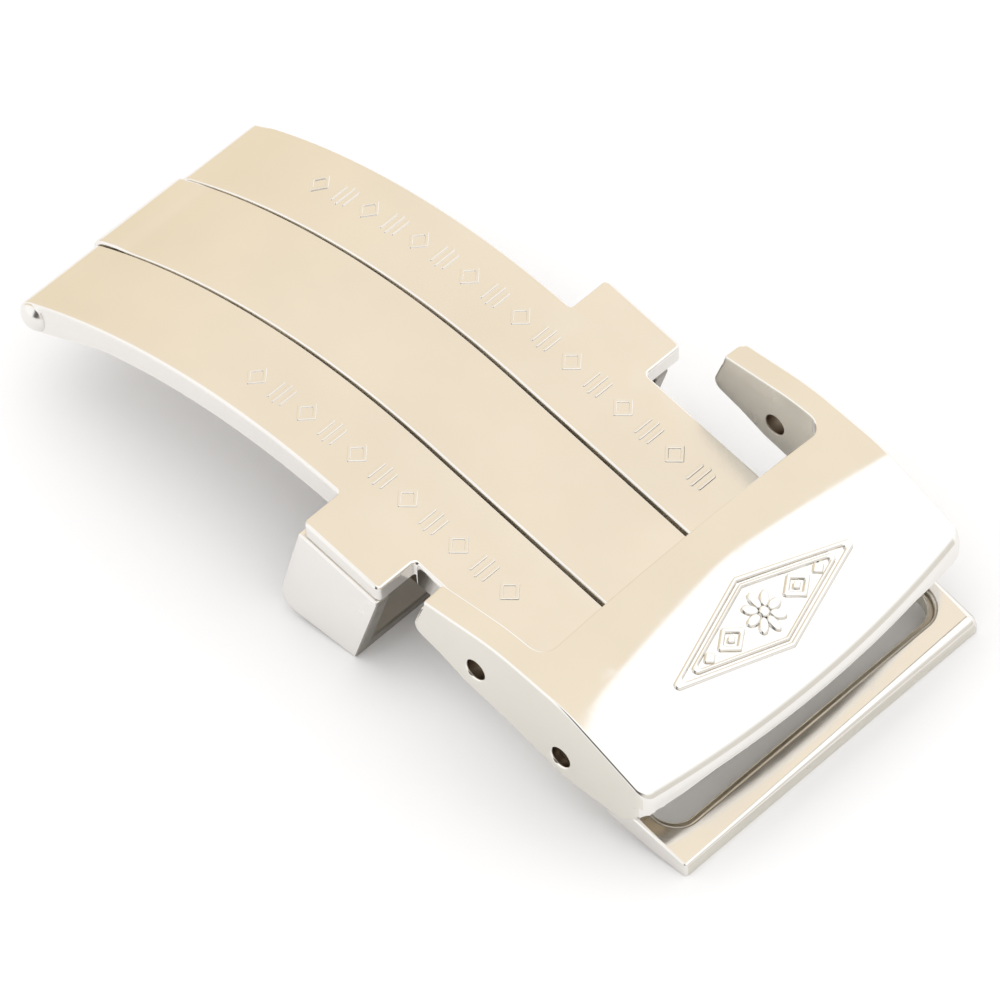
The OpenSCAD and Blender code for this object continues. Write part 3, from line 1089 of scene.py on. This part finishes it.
def steel(name, tone, rough, grain=1.0):
    """Polished steel: slight clouding of the tone, hairline scratches, and duller worn edges."""
    material, tree, bsdf = shader(name)
    coords = tree.nodes.new("ShaderNodeTexCoord").outputs["Object"]
    bsdf.inputs["Metallic"].default_value = 1.0

    cloud = noise(tree, coords, CLOUD_SCALE, 4)
    clouded = tuple(c * CLOUD_TONE for c in tone)
    colour = mix_colour(tree, span(tree, cloud, *CLOUD_SPAN, 0, 1), clouded, tuple(tone))
    link(tree, colour, bsdf.inputs["Base Color"])

    hairs = noise(tree, coords, HAIR_SCALE, 2, HAIR_STRETCH)
    smear = noise(tree, coords, SMEAR_SCALE, 3)
    pointed = tree.nodes.new("ShaderNodeNewGeometry").outputs["Pointiness"]
    worn_part = span(tree, pointed, *WORN_SPAN, 0, WORN_ROUGH)
    smear_part = span(tree, smear, *SMEAR_SPAN, rough * SMEAR_LEAST, rough * SMEAR_MOST)
    hair_part = span(tree, hairs, *HAIR_SPAN, 0, HAIR_ROUGH * grain)
    total = math_node(tree, "ADD", math_node(tree, "ADD", smear_part, hair_part), worn_part)
    link(tree, total, bsdf.inputs["Roughness"])

    bump = tree.nodes.new("ShaderNodeBump")
    bump.inputs["Strength"].default_value = HAIR_BUMP * grain
    bump.inputs["Distance"].default_value = HAIR_DEPTH
    link(tree, hairs, bump.inputs["Height"])
    link(tree, bump.outputs["Normal"], bsdf.inputs["Normal"])
    return material


def camera():
    data = bpy.data.cameras.new("camera")
    obj = bpy.data.objects.new("camera", data)
    bpy.context.scene.collection.objects.link(obj)
    towards = Vector((
        sin(VIEW_TURN) * cos(VIEW_HEIGHT),
        -cos(VIEW_TURN) * cos(VIEW_HEIGHT),
        sin(VIEW_HEIGHT),
    ))
    right = Vector((cos(VIEW_TURN), sin(VIEW_TURN), 0))
    rotation = Matrix((right, towards.cross(right), towards)).transposed().to_4x4()
    place = Matrix.Translation((VIEW_AIM + towards * VIEW_DISTANCE) * MM)
    obj.matrix_world = place @ rotation @ Matrix.Rotation(-VIEW_ROLL, 4, "Z")
    data.sensor_width = SENSOR
    data.lens = SENSOR * VIEW_SCALE * VIEW_DISTANCE / IMAGE_PX
    data.shift_x = -(VIEW_AIM_PX[0] - IMAGE_PX / 2) / IMAGE_PX
    data.shift_y = (VIEW_AIM_PX[1] - IMAGE_PX / 2) / IMAGE_PX
    data.clip_start = 0.01
    bpy.context.scene.camera = obj


# Room: colours of the zones of the world, by direction, which the polished faces mirror
WHITE_HIGH = (1.32, 1.34, 1.36)
WARM_LOW, WARM_HIGH = (0.99, 0.87, 0.66), (1.04, 0.93, 0.76)
BACKDROP = (1.25, 1.25, 1.25)
FRONT_WHITE = (1.2, 1.2, 1.2)
DARK_CORNER = (0.12, 0.11, 0.1)
GREY_WALL = (0.84, 0.81, 0.76)
DIFFUSE_LIGHT = (1.1, 1.1, 1.11)
SEEN_LIGHT = (1.0, 0.995, 0.99)

# Where each zone fades in, as the direction's x, y or z at the start and at the end of the fade
WARM_RISE_Z = (0.2, 0.75)
BACKDROP_Y = (0.68, 0.76)
FRONT_Y = (-0.25, -0.4)
CORNER_X, CORNER_Y = (-0.06, 0.08), (-0.45, -0.6)
WALL_Z, WALL_X = (0.55, 0.3), (0.45, 0.65)

# Border between the white and the warm zone: its place along x, then each bend as the limit along y
# where it starts, how steeply it leans from there, and the side of the limit on which it does
BORDER = 0.005
BORDER_FADE = (-0.012, 0.016)
BORDER_BENDS = ((0.495, 1.65, -1), (0.372, 1.0, -1), (0.3, -3.5, -1), (0.51, 1.1, 1))

# Lamp and table, in metres
LAMP_SIZE = 0.3
LAMP_POWER = 0.15
LAMP_COLOUR = (1.0, 0.985, 0.96)
LAMP_PLACE = (-0.12, 0.0, 0.32)
HALF_TABLE = 1.5
TABLE_COLOUR = (0.93, 0.925, 0.92, 1)


def world_zones():
    world = bpy.data.worlds.new("studio")
    bpy.context.scene.world = world
    world.use_nodes = True
    tree = world.node_tree
    background = tree.nodes["Background"]
    coords = tree.nodes.new("ShaderNodeTexCoord").outputs["Generated"]
    split = tree.nodes.new("ShaderNodeSeparateXYZ")
    link(tree, coords, split.inputs[0])
    x, y, z = split.outputs

    def fade(value, start_and_end):
        """Share that grows from 0 to 1 between two values."""
        return span(tree, value, *start_and_end, 0, 1)

    def times(a, b):
        return math_node(tree, "MULTIPLY", a, b)

    # White above and to the right, warm above and to the left, with a bent border between them
    border = BORDER
    for limit, gain, side in BORDER_BENDS:
        past = math_node(tree, "MAXIMUM", times(math_node(tree, "SUBTRACT", y, limit), side), 0.0)
        border = math_node(tree, "ADD", times(past, gain), border)
    right_of_it = math_node(tree, "SUBTRACT", x, border)
    warm = mix_colour(tree, fade(z, WARM_RISE_Z), WARM_LOW, WARM_HIGH)
    colour = mix_colour(tree, fade(right_of_it, BORDER_FADE), warm, WHITE_HIGH)
    # The backdrop low behind the clasp is white
    colour = mix_colour(tree, fade(y, BACKDROP_Y), colour, BACKDROP)
    # Front left is white, and front right is the dark corner of the room where the camera stands
    colour = mix_colour(tree, fade(y, FRONT_Y), colour, FRONT_WHITE)
    colour = mix_colour(tree, times(fade(x, CORNER_X), fade(y, CORNER_Y)), colour, DARK_CORNER)
    # Low on the right the wall is a plain grey beige
    colour = mix_colour(tree, times(fade(z, WALL_Z), fade(x, WALL_X)), colour, GREY_WALL)
    # Matt faces get an even light, and the background is seen pale
    diffuse = tree.nodes.new("ShaderNodeLightPath").outputs["Is Diffuse Ray"]
    colour = mix_colour(tree, diffuse, colour, DIFFUSE_LIGHT)
    seen = tree.nodes.new("ShaderNodeLightPath").outputs["Is Camera Ray"]
    link(tree, mix_colour(tree, seen, colour, SEEN_LIGHT), background.inputs["Color"])
    background.inputs["Strength"].default_value = 1.0


def softbox():
    lamp = bpy.data.lights.new("softbox", "AREA")
    lamp.shape = "RECTANGLE"
    lamp.size = LAMP_SIZE
    lamp.size_y = LAMP_SIZE
    lamp.energy = LAMP_POWER
    lamp.color = LAMP_COLOUR
    obj = bpy.data.objects.new("softbox", lamp)
    bpy.context.scene.collection.objects.link(obj)
    obj.location = Vector(LAMP_PLACE)
    obj.rotation_euler = (-obj.location).to_track_quat("-Z", "Y").to_euler()
    obj.visible_glossy = False


def table():
    mesh = bpy.data.meshes.new("table")
    half = HALF_TABLE
    corners = [(-half, -half, 0), (half, -half, 0), (half, half, 0), (-half, half, 0)]
    mesh.from_pydata(corners, [], [(0, 1, 2, 3)])
    floor = bpy.data.objects.new("table", mesh)
    bpy.context.scene.collection.objects.link(floor)
    material, tree, bsdf = shader("table_white")
    bsdf.inputs["Base Color"].default_value = TABLE_COLOUR
    bsdf.inputs["Roughness"].default_value = 0.9
    bsdf.inputs["Specular IOR Level"].default_value = 0.1
    mesh.materials.append(material)


camera()
world_zones()
softbox()
table()

# Steels by the finish of their faces: tone, roughness and strength of the hairlines. The darker steels
# paint shade on hollows, gaps, end faces and the sides of the arms.
polished = (0.84, 0.815, 0.78)
blade_steel = steel("polished_blade", polished, 0.13)
centre_steel = steel("polished_centre", polished, 0.12)
keeper_steel = steel("grained_keeper", (0.87, 0.85, 0.825), 0.2, 1.6)
cover_steel = steel("bright_cover", (0.85, 0.83, 0.795), 0.07)
pin_steel = steel("turned_pin", (0.84, 0.82, 0.79), 0.16, 2.0)
# Machined steel for the inner faces, the step walls and the frame's end face: a duller real finish, and a
# lowered tone that paints the shade these faces mirror
shaded_machined = steel("machined_with_painted_shade", (0.74, 0.71, 0.64), 0.28, 2.5)
# Painted shade for the walls of the cover's holes and the pin ends deep in them
painted_hole_shade = steel("painted_hole_shade", (0.3, 0.25, 0.2), 0.3, 2.5)
# Painted shade for the inside of the keeper and the right ends of its walls
keeper_painted_shade = steel("keeper_painted_shade", (0.36, 0.335, 0.3), 0.35, 2.5)
# Painted shade, dark brown, for the floor of the step round the strap slot
step_painted_shade = steel("step_painted_shade", (0.42, 0.36, 0.28), 0.3, 1.5)
# Walls of the gaps beside the centre blade and of its pivot bore: a duller real finish, with a darker tone
# that paints the shade between the blades
slot_walls_shaded = steel("slot_walls_shaded", (0.76, 0.71, 0.62), 0.5, 2.0)
# Outer sides of the arms: a tone lowered to paint shade on these faces
shaded_arm_sides = steel("shaded_arm_sides", (0.77, 0.745, 0.68), 0.12)

outer_blade()
centre_blade()
hinge_pin()
strap_keeper()
strap_peg()
cover()
cover_pin()
cover_ornament()
strip_marks()

bpy.context.scene.view_settings.view_transform = "Standard"
